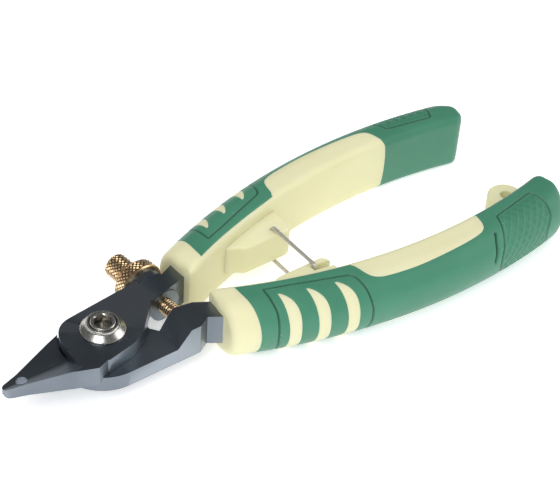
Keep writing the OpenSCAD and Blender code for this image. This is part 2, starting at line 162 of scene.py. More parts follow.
def makeHighlightAndShadeGroup():
    # Painted highlight on raised edges and painted shade in creases: lightens the colour where the surface
    # bulges and darkens it where it dips
    group, inside, outside = makeGroup(
        "edgeHighlightAndCreaseShade",
        [("Base", (0, 0, 0, 1)), ("Edge", (1, 1, 1, 1)), ("Crease", (0, 0, 0, 1)),
         ("Edge Amount", 0.5), ("Crease Amount", 0.5)],
        ["Color"])
    shape = addNode(group, "ShaderNodeNewGeometry")
    raised = addNode(group, "ShaderNodeMapRange",
                     values={"From Min": 0.52, "From Max": 0.62, "To Min": 0.0})
    sunk = addNode(group, "ShaderNodeMapRange",
                   values={"From Min": 0.48, "From Max": 0.38, "To Min": 0.0})
    first = addNode(group, "ShaderNodeMix", {"data_type": "RGBA"})
    second = addNode(group, "ShaderNodeMix", {"data_type": "RGBA"})
    for source, target in (
            (shape.outputs["Pointiness"], raised.inputs["Value"]),
            (shape.outputs["Pointiness"], sunk.inputs["Value"]),
            (inside.outputs["Edge Amount"], raised.inputs["To Max"]),
            (inside.outputs["Crease Amount"], sunk.inputs["To Max"]),
            (raised.outputs["Result"], first.inputs["Factor"]),
            (inside.outputs["Base"], first.inputs["A"]),
            (inside.outputs["Edge"], first.inputs["B"]),
            (sunk.outputs["Result"], second.inputs["Factor"]),
            (first.outputs["Result"], second.inputs["A"]),
            (inside.outputs["Crease"], second.inputs["B"]),
            (second.outputs["Result"], outside.inputs["Color"])):
        group.links.new(source, target)
    return group


grainGroup = makeGrainGroup()
highlightAndShadeGroup = makeHighlightAndShadeGroup()


def makeFinish(name, look):
    material = bpy.data.materials.new(name)
    material.use_nodes = True
    tree = material.node_tree
    skin = tree.nodes["Principled BSDF"]
    grain = addNode(tree, "ShaderNodeGroup", {"node_tree": grainGroup}, {
        "Cloud Scale": look["cloudScale"], "Grain Scale": look["grainScale"],
        "Dark": look["dark"] + (1,), "Light": look["light"] + (1,),
        "Rough Low": look["roughness"][0], "Rough High": look["roughness"][1]})
    # Painted highlight on raised edges and painted shade in creases, by how the surface bulges or dips
    highlightAndShade = addNode(tree, "ShaderNodeGroup", {"node_tree": highlightAndShadeGroup}, {
        "Edge": look["edge"] + (1,), "Crease": look["creaseShade"] + (1,),
        "Edge Amount": look["edgeHighlightAmount"], "Crease Amount": look["creaseShadeAmount"]})
    bump = addNode(tree, "ShaderNodeBump", values={
        "Strength": look["bump"], "Distance": look["bumpDepth"] * mm})
    # Painted shade: a stored attribute darkens the grip's lines, the pad hatch, the knurl and thread grooves
    # and the hex socket toward the look's crease colour
    sunk = addNode(tree, "ShaderNodeAttribute", {"attribute_name": "creaseShade"})
    shade = addNode(tree, "ShaderNodeMix", {"data_type": "RGBA"}, {"B": look["creaseShade"] + (1,)})
    tree.links.new(grain.outputs["Color"], highlightAndShade.inputs["Base"])
    tree.links.new(sunk.outputs["Fac"], shade.inputs["Factor"])
    tree.links.new(highlightAndShade.outputs["Color"], shade.inputs["A"])
    tree.links.new(shade.outputs["Result"], skin.inputs["Base Color"])
    tree.links.new(grain.outputs["Roughness"], skin.inputs["Roughness"])
    tree.links.new(grain.outputs["Height"], bump.inputs["Height"])
    tree.links.new(bump.outputs["Normal"], skin.inputs["Normal"])
    for label, value in look["skin"].items():
        skin.inputs[label].default_value = value
    return material


# In each look, the edge colour is a painted highlight on raised edges, and the crease colour is painted shade
# in creases, grooves and the hex socket
finishes = {
    "bluedSteel": dict(
        dark=(0.17, 0.195, 0.225), light=(0.215, 0.245, 0.28), edge=(0.42, 0.46, 0.5),
        creaseShade=(0.02, 0.022, 0.025), edgeHighlightAmount=0.6, creaseShadeAmount=0.5, roughness=(0.3, 0.42),
        cloudScale=90.0, grainScale=2600.0, bump=0.25, bumpDepth=0.05,
        skin={"Metallic": 1.0}),
    "nickel": dict(
        dark=(0.62, 0.6, 0.55), light=(0.72, 0.7, 0.65), edge=(0.85, 0.84, 0.8),
        creaseShade=(0.3, 0.28, 0.25), edgeHighlightAmount=0.4, creaseShadeAmount=0.6, roughness=(0.22, 0.32),
        cloudScale=200.0, grainScale=1800.0, bump=0.08, bumpDepth=0.04,
        skin={"Metallic": 1.0}),
    "brass": dict(
        dark=(0.72, 0.5, 0.27), light=(0.86, 0.64, 0.38), edge=(0.98, 0.84, 0.62),
        creaseShade=(0.17, 0.08, 0.03), edgeHighlightAmount=0.7, creaseShadeAmount=0.85, roughness=(0.22, 0.34),
        cloudScale=250.0, grainScale=2000.0, bump=0.1, bumpDepth=0.04,
        skin={"Metallic": 1.0}),
    "springWire": dict(
        dark=(0.52, 0.51, 0.48), light=(0.64, 0.62, 0.58), edge=(0.75, 0.74, 0.72),
        creaseShade=(0.25, 0.24, 0.22), edgeHighlightAmount=0.3, creaseShadeAmount=0.4, roughness=(0.18, 0.3),
        cloudScale=300.0, grainScale=2500.0, bump=0.1, bumpDepth=0.04,
        skin={"Metallic": 0.55}),
    "creamPlastic": dict(
        dark=(0.74, 0.7, 0.42), light=(0.78, 0.75, 0.48), edge=(0.82, 0.81, 0.6),
        creaseShade=(0.66, 0.56, 0.26), edgeHighlightAmount=0.4, creaseShadeAmount=0.5, roughness=(0.4, 0.52),
        cloudScale=35.0, grainScale=1400.0, bump=0.12, bumpDepth=0.05,
        skin={"Subsurface Weight": 0.25, "Subsurface Scale": 0.004,
              "Subsurface Radius": (1.0, 0.9, 0.5), "Specular IOR Level": 0.4}),
    "greenRubber": dict(
        dark=(0.042, 0.2, 0.118), light=(0.055, 0.24, 0.142), edge=(0.16, 0.4, 0.28),
        creaseShade=(0.008, 0.06, 0.032), edgeHighlightAmount=0.45, creaseShadeAmount=0.7, roughness=(0.42, 0.54),
        cloudScale=45.0, grainScale=1500.0, bump=0.2, bumpDepth=0.06,
        skin={"Specular IOR Level": 0.5, "Sheen Weight": 0.12, "Sheen Roughness": 0.4}),
}
finish = {name: makeFinish(name, look) for name, look in finishes.items()}
print("finishes made")


# Grips: a bowed bar in two materials. A place on a grip is (along, around): millimetres along
# the bow from its widest point, and round the section from the middle of the inner side.

grip = dict(
    bowRadius=163.0, bowX=91.0, width=12.2, crown=6.8, edge=2.0, midRadius=157.0,
    end=125.8, endOuter=6.0, endInner=3.0, endFlat=1.8,
    frontX=27.2, frontLean=9.0, frontRound=2.6,
    coverDepth=0.9, panelX=31.5,
    stepAlong=0.5, stepAround=0.5, fineBand=0.75, snap=0.02)
halfWidth = coverHigh[1] - centreY
halfThick = (coreHigh[2] - coreLow[2]) / 2
bowY = halfWidth - grip["bowRadius"]
innerRadius = grip["bowRadius"] - grip["width"]

# Lines on the grip, as (along, distance from the middle of the crown round the section)
gripLines = dict(
    panelTop=[(-56.4, 13.7), (-51.0, 13.8), (-45.8, 13.6), (-40.0, 13.2), (-35.2, 12.7), (-34.0, 12.2),
              (-33.1, 10.9), (-32.0, 7.8), (-31.3, 4.7), (-30.9, 2.2), (-30.9, 0.0)],
    panelFront=[(-56.4, 13.7), (-55.9, 11.5), (-55.3, 9.0), (-54.7, 6.7), (-54.5, 4.2), (-54.5, 2.0),
                (-54.5, 0.0)],
    pad=[(7.7, 0.0), (7.9, 1.6), (8.8, 4.4), (9.9, 7.6), (10.9, 10.1), (11.7, 12.0), (12.6, 12.7),
         (18.4, 13.1), (24.8, 13.4), (25.9, 12.8), (26.4, 11.0), (26.7, 8.2), (26.5, 5.0),
         (25.6, 3.0), (24.8, 1.2), (24.6, 0.0)],
    slit=[(7.6, 8.4), (6.7, 6.2), (6.0, 3.2), (5.4, 1.2)],
    window=[(-100.0, 16.0), (-62.0, 16.0), (-45.0, 16.2), (-33.5, 16.1), (-32.2, 15.5), (-31.3, 14.3),
            (-30.4, 12.0), (-29.4, 10.5), (-27.8, 9.6), (-25.0, 9.15), (-16.8, 9.0), (-7.7, 9.4),
            (-0.3, 9.8), (3.4, 10.2), (5.2, 10.8), (6.3, 11.8), (7.1, 13.5), (7.8, 16.4), (8.3, 18.0),
            (8.8, 22.0), (8.9, 24.4)],
    ribStart=[-51.9, -44.7, -37.3], ribWide=2.95, ribTip=11.3, ribSweep=1.6, ribTaper=3.9)
# Depth and width of each line that is pressed into the skin, and the same for the painted shade in it
relief = dict(seam=(0.1, 0.16), panel=(0.42, 0.27), pad=(0.4, 0.27), slit=(0.8, 0.36),
              lineShade=(0.75, 0.24), slitShade=(1.0, 0.3))
# The hatch's last number is the painted shade on the sunk skin between its lines
crossHatch = dict(pitchAlong=2.5, pitchAround=3.0, lineWidth=0.4, depth=0.2, paintedShade=0.14)


def sectionCurve():
    w, c, e = grip["width"], grip["crown"], grip["edge"]
    points = [(0, v) for v in np.linspace(0, halfThick - e, 24)]
    points += [(e - e * math.cos(a), halfThick - e + e * math.sin(a))
               for a in np.linspace(0, math.pi / 2, 20)[1:]]
    points += [(w - c + c * math.cos(a), halfThick * math.sin(a))
               for a in np.linspace(math.pi / 2, 0, 91)]
    points += [(r, -h) for r, h in points[-2::-1]]
    curve = np.array(points)
    around = np.r_[0, np.cumsum(np.linalg.norm(np.diff(curve, axis=0), axis=1))]
    return around, curve


aroundAt, sectionAt = sectionCurve()
perimeter = aroundAt[-1]


def smoothLine(points, cuts=6):
    # Catmull-Rom curve through the points
    p = np.array(points, float)
    p = np.concatenate([p[:1], p, p[-1:]])
    out = []
    for a, b, c, d in zip(p, p[1:], p[2:], p[3:]):
        for t in np.arange(cuts) / cuts:
            out.append(0.5 * (2 * b + (c - a) * t + (2 * a - 5 * b + 4 * c - d) * t * t
                              + (3 * b - a - 3 * c + d) * t ** 3))
    return np.array(out + [p[-1]])


def distanceTo(line, s, q):
    # Distance of many places to a line
    best = np.full(s.shape, 1e9)
    for (ax, ay), (bx, by) in zip(line[:-1], line[1:]):
        dx, dy = bx - ax, by - ay
        size = dx * dx + dy * dy
        if size < 1e-12:
            continue
        t = np.clip(((s - ax) * dx + (q - ay) * dy) / size, 0, 1)
        best = np.minimum(best, (s - ax - t * dx) ** 2 + (q - ay - t * dy) ** 2)
    return np.sqrt(best)


def isInside(line, s, q):
    a, b = line, np.roll(line, -1, axis=0)
    inside = np.zeros(s.shape, bool)
    for (ax, ay), (bx, by) in zip(a, b):
        if abs(by - ay) < 1e-12:
            continue
        cross = (ay > q) != (by > q)
        inside ^= cross & (s < (bx - ax) * (q - ay) / (by - ay) + ax)
    return inside


lines = {name: smoothLine(gripLines[name]) for name in ("panelTop", "panelFront", "pad", "slit", "window")}
padOutline = np.concatenate([lines["pad"], lines["pad"][::-1] * [1, -1]])


def sideOf(name, s, q):
    # Height of a line that runs along the grip, less the place's own
    line = lines[name]
    return np.interp(s, line[:, 0], line[:, 1]) - q


def ribField(s, q):
    # Positive inside one of the three ribs
    q = np.abs(q)
    best = np.full(s.shape, -1e9)
    for start in gripLines["ribStart"]:
        k = np.clip(q / gripLines["ribTip"], 0, 1.2)
        low = start - gripLines["ribSweep"] * k ** 2.2
        high = start + gripLines["ribWide"] - gripLines["ribTaper"] * k ** 4
        field = np.minimum(np.minimum(s - low, high - s), gripLines["ribTip"] - q)
        best = np.maximum(best, field)
    return best


frontAngle = math.radians(grip["frontLean"])
middleRadius = grip["midRadius"]


def frontAlong(radius):
    reach = grip["frontX"] - grip["bowX"] - bowY * math.tan(frontAngle)
    return (np.arcsin(reach * math.cos(frontAngle) / radius) - frontAngle) * middleRadius


endRadius = grip["bowRadius"] - grip["width"] / 2
endAlong = math.asin((grip["end"] - grip["bowX"]) / endRadius) * middleRadius
startAlong = float(frontAlong(np.array([middleRadius]))[0])
leanFade = 14.0       # how far behind the front its lean dies out


def smoothStep(x, low, high):
    k = np.clip((x - low) / (high - low), 0, 1)
    return k * k * (3 - 2 * k)


def sectionPoint(t):
    t = np.mod(t, perimeter)
    return np.interp(t, aroundAt, sectionAt[:, 0]), np.interp(t, aroundAt, sectionAt[:, 1])


def quarter(s, radius):
    # How far a rounded rear corner of this radius draws in
    k = np.clip(s - (endAlong - radius), 0, radius)
    return radius - np.sqrt(np.maximum(radius ** 2 - k ** 2, 0))


def placeOnGrip(s, t, depth):
    # From a place on the grip to x, distance out from the centre line and height
    t = np.mod(t, perimeter)
    gap = 0.02
    r, h = sectionPoint(t)
    r1, h1 = sectionPoint(t + gap)
    r0, h0 = sectionPoint(t - gap)
    nr, nh = -(h1 - h0), (r1 - r0)
    size = np.hypot(nr, nh)
    nr, nh = nr / size, nh / size
    # Lean of the front face, faded out along the grip
    fade = np.clip((startAlong + leanFade - s) / leanFade, 0, 1) ** 2
    along = s + (frontAlong(innerRadius + r) - startAlong) * fade
    # Rounding at the front, less of it on the inner side
    near = np.clip(grip["frontRound"] - (s - startAlong), 0, grip["frontRound"])
    soft = grip["frontRound"] - np.sqrt(grip["frontRound"] ** 2 - near ** 2)
    inset = depth + soft * (0.35 + 0.65 * smoothStep(r, 0.0, 6.0))
    r = r - nr * inset
    h = h - nh * inset
    # Rounding at the rear
    low, high, flat = (quarter(s, grip[name]) for name in ("endInner", "endOuter", "endFlat"))
    r = low + r / grip["width"] * (grip["width"] - low - high)
    h = h * (1 - flat / halfThick)
    angle = along / middleRadius
    radius = innerRadius + r
    return np.stack([grip["bowX"] + radius * np.sin(angle), bowY + radius * np.cos(angle), h], axis=1), along


def fieldsAt(s, t):
    # Colour field, positive where the soft cover is, and the distances that shape the surface
    place, along = placeOnGrip(s, t, 0.0)
    q = perimeter / 2 - t
    a = np.abs(q)
    cover = np.minimum(sideOf("window", along, a), place[:, 0] - grip["panelX"])
    cover = np.minimum(cover, -ribField(along, q))
    beyond = along - lines["window"][-1, 0]
    cover = np.maximum(cover, np.minimum(beyond, 3.0))
    panel = np.minimum(distanceTo(lines["panelTop"], along, a), distanceTo(lines["panelFront"], along, a))
    pad = distanceTo(lines["pad"], along, a)
    slit = distanceTo(lines["slit"], along, q)
    return cover, panel, pad, slit, along, q


def refine(bm):
    # Two levels of finer faces near every line, and the first of them all over the thumb pad
    for level in range(2):
        bm.verts.ensure_lookup_table()
        bm.verts.index_update()
        co = np.array([v.co[:2] for v in bm.verts])
        cover, panel, pad, slit, _, _ = fieldsAt(co[:, 0], co[:, 1])
        near = np.minimum(np.minimum(np.abs(cover), panel), np.minimum(pad, slit))
        if level == 0:
            near[isInside(padOutline, co[:, 0], perimeter / 2 - co[:, 1])] = 0
        fine = near < grip["fineBand"] / (level + 1) + 0.1
        edges = [e for e in bm.edges if fine[e.verts[0].index] or fine[e.verts[1].index]]
        bmesh.ops.subdivide_edges(bm, edges=edges, cuts=1, use_grid_fill=True)


def cutAtBoundary(bm, value):
    # Splits faces where the value changes sign, so that the colours meet on an edge
    cut = set()
    for e in list(bm.edges):
        a, b = e.verts
        if value[a] * value[b] < 0:
            k = value[a] / (value[a] - value[b])
            if k < grip["snap"]:
                at = a
            elif k > 1 - grip["snap"]:
                at = b
            else:
                at = bmesh.utils.edge_split(e, a, k)[1]
            value[at] = 0.0
            cut.add(at)
    bm.edges.ensure_lookup_table()
    for f in list(bm.faces):
        on = [v for v in f.verts if v in cut]
        if len(on) == 2 and not any(set(e.verts) == set(on) for e in f.edges):
            bmesh.utils.face_split(f, on[0], on[1])


def gripPattern():
    # Flat pattern of the whole skin, cut along every colour boundary
    front = startAlong + grip["frontRound"] * (1 - np.cos(np.linspace(0, math.pi / 2, 8)))
    rear = endAlong - grip["endOuter"] * (1 - np.sin(np.linspace(0, math.pi / 2, 16)))
    count = int((rear[0] - front[-1]) / grip["stepAlong"])
    along = np.r_[front, np.linspace(front[-1], rear[0], count)[1:-1], rear]
    rows = int(perimeter / grip["stepAround"] / 2) * 2
    around = np.linspace(0, perimeter, rows + 1)
    bm = bmesh.new()
    grid = [[bm.verts.new((s, t, 0)) for t in around] for s in along]
    for a, b in zip(grid, grid[1:]):
        for j in range(rows):
            bm.faces.new((a[j], b[j], b[j + 1], a[j + 1]))
    refine(bm)
    bm.verts.ensure_lookup_table()
    bm.verts.index_update()
    co = np.array([v.co[:2] for v in bm.verts])
    cover = fieldsAt(co[:, 0], co[:, 1])[0]
    value = {v: 1e-4 if abs(cover[v.index]) < 1e-4 else float(cover[v.index]) for v in bm.verts}
    cutAtBoundary(bm, value)
    bmesh.ops.triangulate(bm, faces=bm.faces, quad_method="BEAUTY", ngon_method="BEAUTY")
    bm.verts.ensure_lookup_table()
    bm.verts.index_update()
    points = np.array([v.co[:2] for v in bm.verts])
    faces = np.array([[v.index for v in f.verts] for f in bm.faces])
    amount = np.array([value.get(v, 0.0) for v in bm.verts])
    bm.free()
    return points, faces, amount


def pressed(distance, shape):
    size, width = shape
    return size * np.exp(-(distance / width) ** 2)


def gripSkin():
    # The pattern with which side of the boundary a face is on, how deep its points lie and how much painted
    # shade they get
    points, faces, amount = gripPattern()
    s = points[:, 0]
    cover, panel, pad, slit, along, q = fieldsAt(s, points[:, 1])
    isCover = amount[faces].sum(axis=1) > 0
    onCover = cover > -0.02
    seam = pressed(np.abs(cover), relief["seam"]) * (s < 20) * (s > startAlong + 1)
    groove = pressed(panel, relief["panel"]) + pressed(pad, relief["pad"])
    top = np.where(onCover, seam + groove + pressed(slit, relief["slit"]), seam)
    # Painted shade along the pressed lines and the slit
    paintedShade = np.maximum(pressed(np.minimum(panel, pad), relief["lineShade"]), pressed(slit, relief["slitShade"]))
    paintedShade = np.where(onCover, paintedShade, 0)
    print("grip pattern", len(points), "points", len(faces), "triangles")
    mask = np.where(isInside(padOutline, along, q), smoothStep(pad, 0.5, 0.9), 0)
    return points, faces, isCover, top, {"along": along, "around": q, "pad": mask, "creaseShade": paintedShade}


def directedEdges(faces):
    edges = np.concatenate([faces[:, [0, 1]], faces[:, [1, 2]], faces[:, [2, 0]]])
    return {tuple(edge) for edge in edges.tolist()}


def wallsFor(rim, n):
    # Two triangles for each rim edge, down to the layer whose points come n later
    return [(b, a, a + n) for a, b in rim] + [(b, a + n, b + n) for a, b in rim]


def ringAt(points, end):
    # Points of the pattern's first or last row, in order round the section
    ring = np.where(np.abs(points[:, 0] - end) < 1e-4)[0]
    return ring[np.argsort(points[ring, 1])]


def twoLayers(points, top, depth, inset):
    n = len(points)
    high, _ = placeOnGrip(points[:, 0], points[:, 1], top)
    deep, _ = placeOnGrip(np.minimum(points[:, 0], endAlong - inset), points[:, 1], np.full(n, depth))
    return np.concatenate([high, deep])


def coverShell(points, faces, top):
    # The soft cover: skin, a floor under it, walls round its rim and a flat rear end
    n = len(points)
    co = twoLayers(points, top, grip["coverDepth"], grip["coverDepth"])
    edges = directedEdges(faces)
    onSeam = lambda v: points[v, 1] < 1e-4 or points[v, 1] > perimeter - 1e-4
    rear = ringAt(points, endAlong)
    atRear = {tuple(sorted(pair)) for pair in zip(rear.tolist(), rear[1:].tolist())}
    rim = [(a, b) for a, b in edges if (b, a) not in edges and not (onSeam(a) and onSeam(b))
           and tuple(sorted((a, b))) not in atRear]
    rear = rear[:-1]
    hub = 2 * n
    around = [(int(a), int(b)) for a, b in zip(np.roll(rear, 1), rear)]
    caps = [(a, b, hub) for a, b in around] + [(b + n, a + n, hub + 1) for a, b in around]
    co = np.concatenate([co, [co[rear].mean(axis=0), co[rear + n].mean(axis=0)]])
    return co, np.concatenate([faces, faces[:, ::-1] + n]).tolist() + wallsFor(rim, n) + caps


def coreShell(points, faces, isCover, top):
    # The hard core: flush where it shows, sunk under the cover, with flat ends
    n = len(points)
    depth = grip["coverDepth"] + 0.02
    bare, covered = faces[~isCover], faces[isCover]
    coveredEdges = directedEdges(covered)
    rim = [(a, b) for a, b in directedEdges(bare) if (b, a) in coveredEdges]
    front, rear = ringAt(points, startAlong)[:-1], ringAt(points, endAlong)[:-1] + n
    caps = [[int(v) for v in front[::-1]], [int(v) for v in rear]]
    return (twoLayers(points, top, depth, depth),
            bare.tolist() + (covered + n).tolist() + wallsFor(rim, n) + caps)


def meshFrom(name, co, faces, side, attributes):
    out = 1 if side == "upper" else -1
    place = np.stack([co[:, 0], centreY + out * co[:, 1], centreZ - out * co[:, 2]], axis=1) * mm
    mesh = bpy.data.meshes.new(name)
    mesh.from_pydata(place.tolist(), [], faces)
    for label, values in attributes.items():
        mesh.attributes.new(label, "FLOAT", "POINT").data.foreach_set("value", values.astype(np.float32))
    bm = bmesh.new()
    bm.from_mesh(mesh)
    bmesh.ops.remove_doubles(bm, verts=bm.verts, dist=2e-6)
    bmesh.ops.delete(bm, geom=[v for v in bm.verts if not v.link_faces], context="VERTS")
    bmesh.ops.recalc_face_normals(bm, faces=bm.faces)
    bm.to_mesh(mesh)
    bm.free()
    return mesh


# What the geometry node trees share

def startTree(name, floats, wholes=(), onMesh=False):
    # A tree that works on a mesh takes it as its first input
    tree = bpy.data.node_groups.new(name, "GeometryNodeTree")
    if onMesh:
        tree.interface.new_socket("Geometry", in_out="INPUT", socket_type="NodeSocketGeometry")
    for label in floats:
        tree.interface.new_socket(label, in_out="INPUT", socket_type="NodeSocketFloat")
    for label in wholes:
        tree.interface.new_socket(label, in_out="INPUT", socket_type="NodeSocketInt")
    tree.interface.new_socket("Material", in_out="INPUT", socket_type="NodeSocketMaterial")
    return tree


def calcIn(tree):
    # A function that adds one maths node and hands back what it gives
    def calc(kind, *args):
        node = tree.nodes.new("ShaderNodeMath")
        node.operation = kind
        for i, value in enumerate(args):
            if isinstance(value, (int, float)):
                node.inputs[i].default_value = value
            else:
                tree.links.new(value, node.inputs[i])
        return node.outputs[0]
    return calc


def moveAndPaint(tree, geometry, creaseShade, target, value):
    # Store the painted shade for the grooves, move the points, then give the surface its material
    inside = tree.nodes["Group Input"]
    tree.interface.new_socket("Geometry", in_out="OUTPUT", socket_type="NodeSocketGeometry")
    outside = tree.nodes.new("NodeGroupOutput")
    store = tree.nodes.new("GeometryNodeStoreNamedAttribute")
    store.inputs["Name"].default_value = "creaseShade"
    move = tree.nodes.new("GeometryNodeSetPosition")
    real = tree.nodes.new("GeometryNodeRealizeInstances")
    paint = tree.nodes.new("GeometryNodeSetMaterial")
    for source, place in (
            (geometry, store.inputs["Geometry"]), (creaseShade, store.inputs["Value"]),
            (store.outputs["Geometry"], move.inputs["Geometry"]), (value, move.inputs[target]),
            (move.outputs[0], real.inputs[0]), (real.outputs[0], paint.inputs["Geometry"]),
            (inside.outputs["Material"], paint.inputs["Material"]),
            (paint.outputs[0], outside.inputs["Geometry"])):
        tree.links.new(source, place)


def makeHatchTree():
    # Two families of fine grooves pressed into the thumb pad
    tree = startTree("crossHatch", ("Pitch Along", "Pitch Around", "Line Width", "Depth"), onMesh=True)
    inside = tree.nodes.new("NodeGroupInput")
    calc = calcIn(tree)

    def attribute(label):
        node = tree.nodes.new("GeometryNodeInputNamedAttribute")
        node.data_type = "FLOAT"
        node.inputs["Name"].default_value = label
        return node.outputs["Attribute"]

    u = calc("DIVIDE", attribute("along"), inside.outputs["Pitch Along"])
    v = calc("DIVIDE", attribute("around"), inside.outputs["Pitch Around"])
    width = calc("DIVIDE", inside.outputs["Line Width"], inside.outputs["Pitch Along"])
    mask = attribute("pad")
    grooves = []
    for total in (calc("ADD", u, v), calc("SUBTRACT", u, v)):
        ramp = calc("ABSOLUTE", calc("SUBTRACT", calc("FRACT", total), 0.5))
        grooves.append(calc("MAXIMUM", calc("SUBTRACT", 1.0, calc("DIVIDE", ramp, width)), 0.0))
    line = calc("MINIMUM", calc("MULTIPLY", calc("MAXIMUM", *grooves), 1.6), 1.0)
    between = calc("SUBTRACT", 1.0, line)
    depth = calc("MULTIPLY", between, inside.outputs["Depth"])
    depth = calc("MULTIPLY", calc("MULTIPLY", depth, mask), -mm)
    normal = tree.nodes.new("GeometryNodeInputNormal")
    scale = tree.nodes.new("ShaderNodeVectorMath")
    scale.operation = "SCALE"
    tree.links.new(normal.outputs[0], scale.inputs[0])
    tree.links.new(depth, scale.inputs["Scale"])
    # Painted shade on the sunk skin between the lines
    paintedShade = calc("MULTIPLY", calc("MULTIPLY", between, mask), crossHatch["paintedShade"])
    moveAndPaint(tree, inside.outputs["Geometry"], calc("MAXIMUM", attribute("creaseShade"), paintedShade),
                 "Offset", scale.outputs[0])
    return tree


def setInputs(modifier, values):
    for item in modifier.node_group.interface.items_tree:
        if item.item_type == "SOCKET" and item.in_out == "INPUT" and item.name in values:
            modifier[item.identifier] = values[item.name]


hatchTree = makeHatchTree()
points, faces, isCover, skinDepth, skinFields = gripSkin()

# Lugs moulded on the core: the boss that takes the wire, and the hanging eye of the lower grip
boss = dict(
    front=45.0, rear=59.8, face=6.2, halfHigh=4.3, frontRun=5.0, rearCorner=2.2, edge=0.7,
    wireHole=0.62, slotWidth=1.6, slotRun=9.0, slotMouth=(0.3, 2.6), cutHalf=10, eyeX=115.5, eyeOut=3.0,
    eyeRadius=4.8, eyeHole=1.6, eyeHalf=3.0, eyeEdge=0.6)


def bowAt(x, radius):
    return bowY + math.sqrt(radius ** 2 - (x - grip["bowX"]) ** 2)


def prism(outline, half):
    bm = bmesh.new()
    low = [bm.verts.new((x, y, -half)) for x, y in outline]
    high = [bm.verts.new((x, y, half)) for x, y in outline]
    n = len(outline)
    bm.faces.new(low[::-1])
    bm.faces.new(high)
    for i in range(n):
        bm.faces.new((low[i], low[(i + 1) % n], high[(i + 1) % n], high[i]))
    bmesh.ops.recalc_face_normals(bm, faces=bm.faces)
    return bm


def roundBar(radius, x, y, half):
    return prism([(x + radius * math.cos(a), y + radius * math.sin(a))
                  for a in np.linspace(0, 2 * math.pi, 33)[:-1]], half)


def lugMesh(name, outline, half, edge, cutters):
    # A moulded lug with rounded edges and holes
    bm = prism(outline, half)
    mesh = bpy.data.meshes.new(name)
    bm.to_mesh(mesh)
    bm.free()
    thing = newObject(name, mesh)
    soft = thing.modifiers.new("soft", "BEVEL")
    soft.width, soft.segments, soft.limit_method = edge, 4, "ANGLE"
    soft.angle_limit = math.radians(40)
    helpers = []
    for cutter in cutters:
        cutMesh = bpy.data.meshes.new(name + "Cut")
        cutter.to_mesh(cutMesh)
        cutter.free()
        helper = newObject(name + "Cut", cutMesh)
        hole = thing.modifiers.new("hole", "BOOLEAN")
        hole.operation, hole.solver, hole.object = "DIFFERENCE", "EXACT", helper
        helpers.append(helper)
    done = baked(thing, name)
    for helper in helpers:
        bpy.data.objects.remove(helper)
    return done


def bossOutline():
    front, rear, face, corner = (boss[name] for name in ("front", "rear", "face", "rearCorner"))
    start = front - boss["frontRun"]
    line = [(start, bowAt(start, innerRadius) + 0.6), (front - 1.4, face + 1.1), (front - 0.7, face + 0.45),
            (front + 0.3, face + 0.08), (front + 1.2, face)]
    line += [(rear - corner + corner * math.sin(a), face + corner - corner * math.cos(a))
             for a in np.linspace(0, math.pi / 2, 8)]
    line += [(x, bowAt(x, innerRadius) + 1.2) for x in [rear, *np.linspace(rear - 2, front - 3, 8)]]
    return line


def eyeOutline():
    x, size = boss["eyeX"], boss["eyeRadius"]
    y = bowAt(x, innerRadius)
    line = [(x - size, y + 1.5)]
    line += [(x - size * math.cos(a), y - boss["eyeOut"] - size * math.sin(a))
             for a in np.linspace(0, math.pi, 25)]
    return line + [(x + size, y + 1.5)]


def placeLug(thing, side):
    out = 1 if side == "upper" else -1
    place = Matrix.Diagonal((mm, out * mm, -out * mm, 1))
    place.translation = (0, centreY * mm, centreZ * mm)
    thing.data.transform(place)
    bm = bmesh.new()
    bm.from_mesh(thing.data)
    bmesh.ops.remove_doubles(bm, verts=bm.verts, dist=1e-7)
    bmesh.ops.recalc_face_normals(bm, faces=bm.faces)
    bm.to_mesh(thing.data)
    bm.free()


def joined(name, things):
    bm = bmesh.new()
    for thing in things:
        bm.from_mesh(thing.data)
        bpy.data.objects.remove(thing)
    mesh = bpy.data.meshes.new(name)
    bm.to_mesh(mesh)
    bm.free()
    return newObject(name, mesh)


bailX = (bailLow[0] + bailHigh[0]) / 2
bailY = (bailHigh[1] - bailLow[1]) / 2 - 0.5


def makeCover(side):
    name = side + "GripCover"
    co, shell = coverShell(points, faces[isCover], skinDepth)
    fields = {label: np.r_[values, values, 0, 0] for label, values in skinFields.items()}
    for label in ("pad", "creaseShade"):
        fields[label][len(points):] = 0
    cover = newObject(name + "Raw", meshFrom(name, co, shell, side, fields))
    press = cover.modifiers.new("hatch", "NODES")
    press.node_group = hatchTree
    setInputs(press, {"Pitch Along": crossHatch["pitchAlong"], "Pitch Around": crossHatch["pitchAround"],
                      "Line Width": crossHatch["lineWidth"], "Depth": crossHatch["depth"],
                      "Material": finish["greenRubber"]})
    return baked(cover, name)


def bossCutter(side):
    # A round hole for the pins in the upper boss, and an open slot for the wire in the lower one
    if side == "upper":
        return roundBar(boss["wireHole"], bailX, bailY, boss["cutHalf"])
    half, run = boss["slotWidth"] / 2, boss["slotRun"]
    low, high = boss["slotMouth"]
    return prism([(bailX - half, bailY - half), (bailX + run, bailY + low), (bailX + run, bailY + high),
                  (bailX - half, bailY + half)], boss["cutHalf"])


def makeCore(side):
    name = side + "GripCore"
    co, shell = coreShell(points, faces, isCover, skinDepth)
    core = newObject(name + "Raw", meshFrom(name, co, shell, side, {}))
    lugs = [lugMesh("boss", bossOutline(), boss["halfHigh"], boss["edge"], [bossCutter(side)])]
    if side == "lower":
        eyeY = bowAt(boss["eyeX"], innerRadius) - boss["eyeOut"]
        hole = roundBar(boss["eyeHole"], boss["eyeX"], eyeY, boss["cutHalf"])
        lugs.append(lugMesh("eye", eyeOutline(), boss["eyeHalf"], boss["eyeEdge"], [hole]))
    for lug in lugs:
        placeLug(lug, side)
    return joined(name, [core] + lugs)


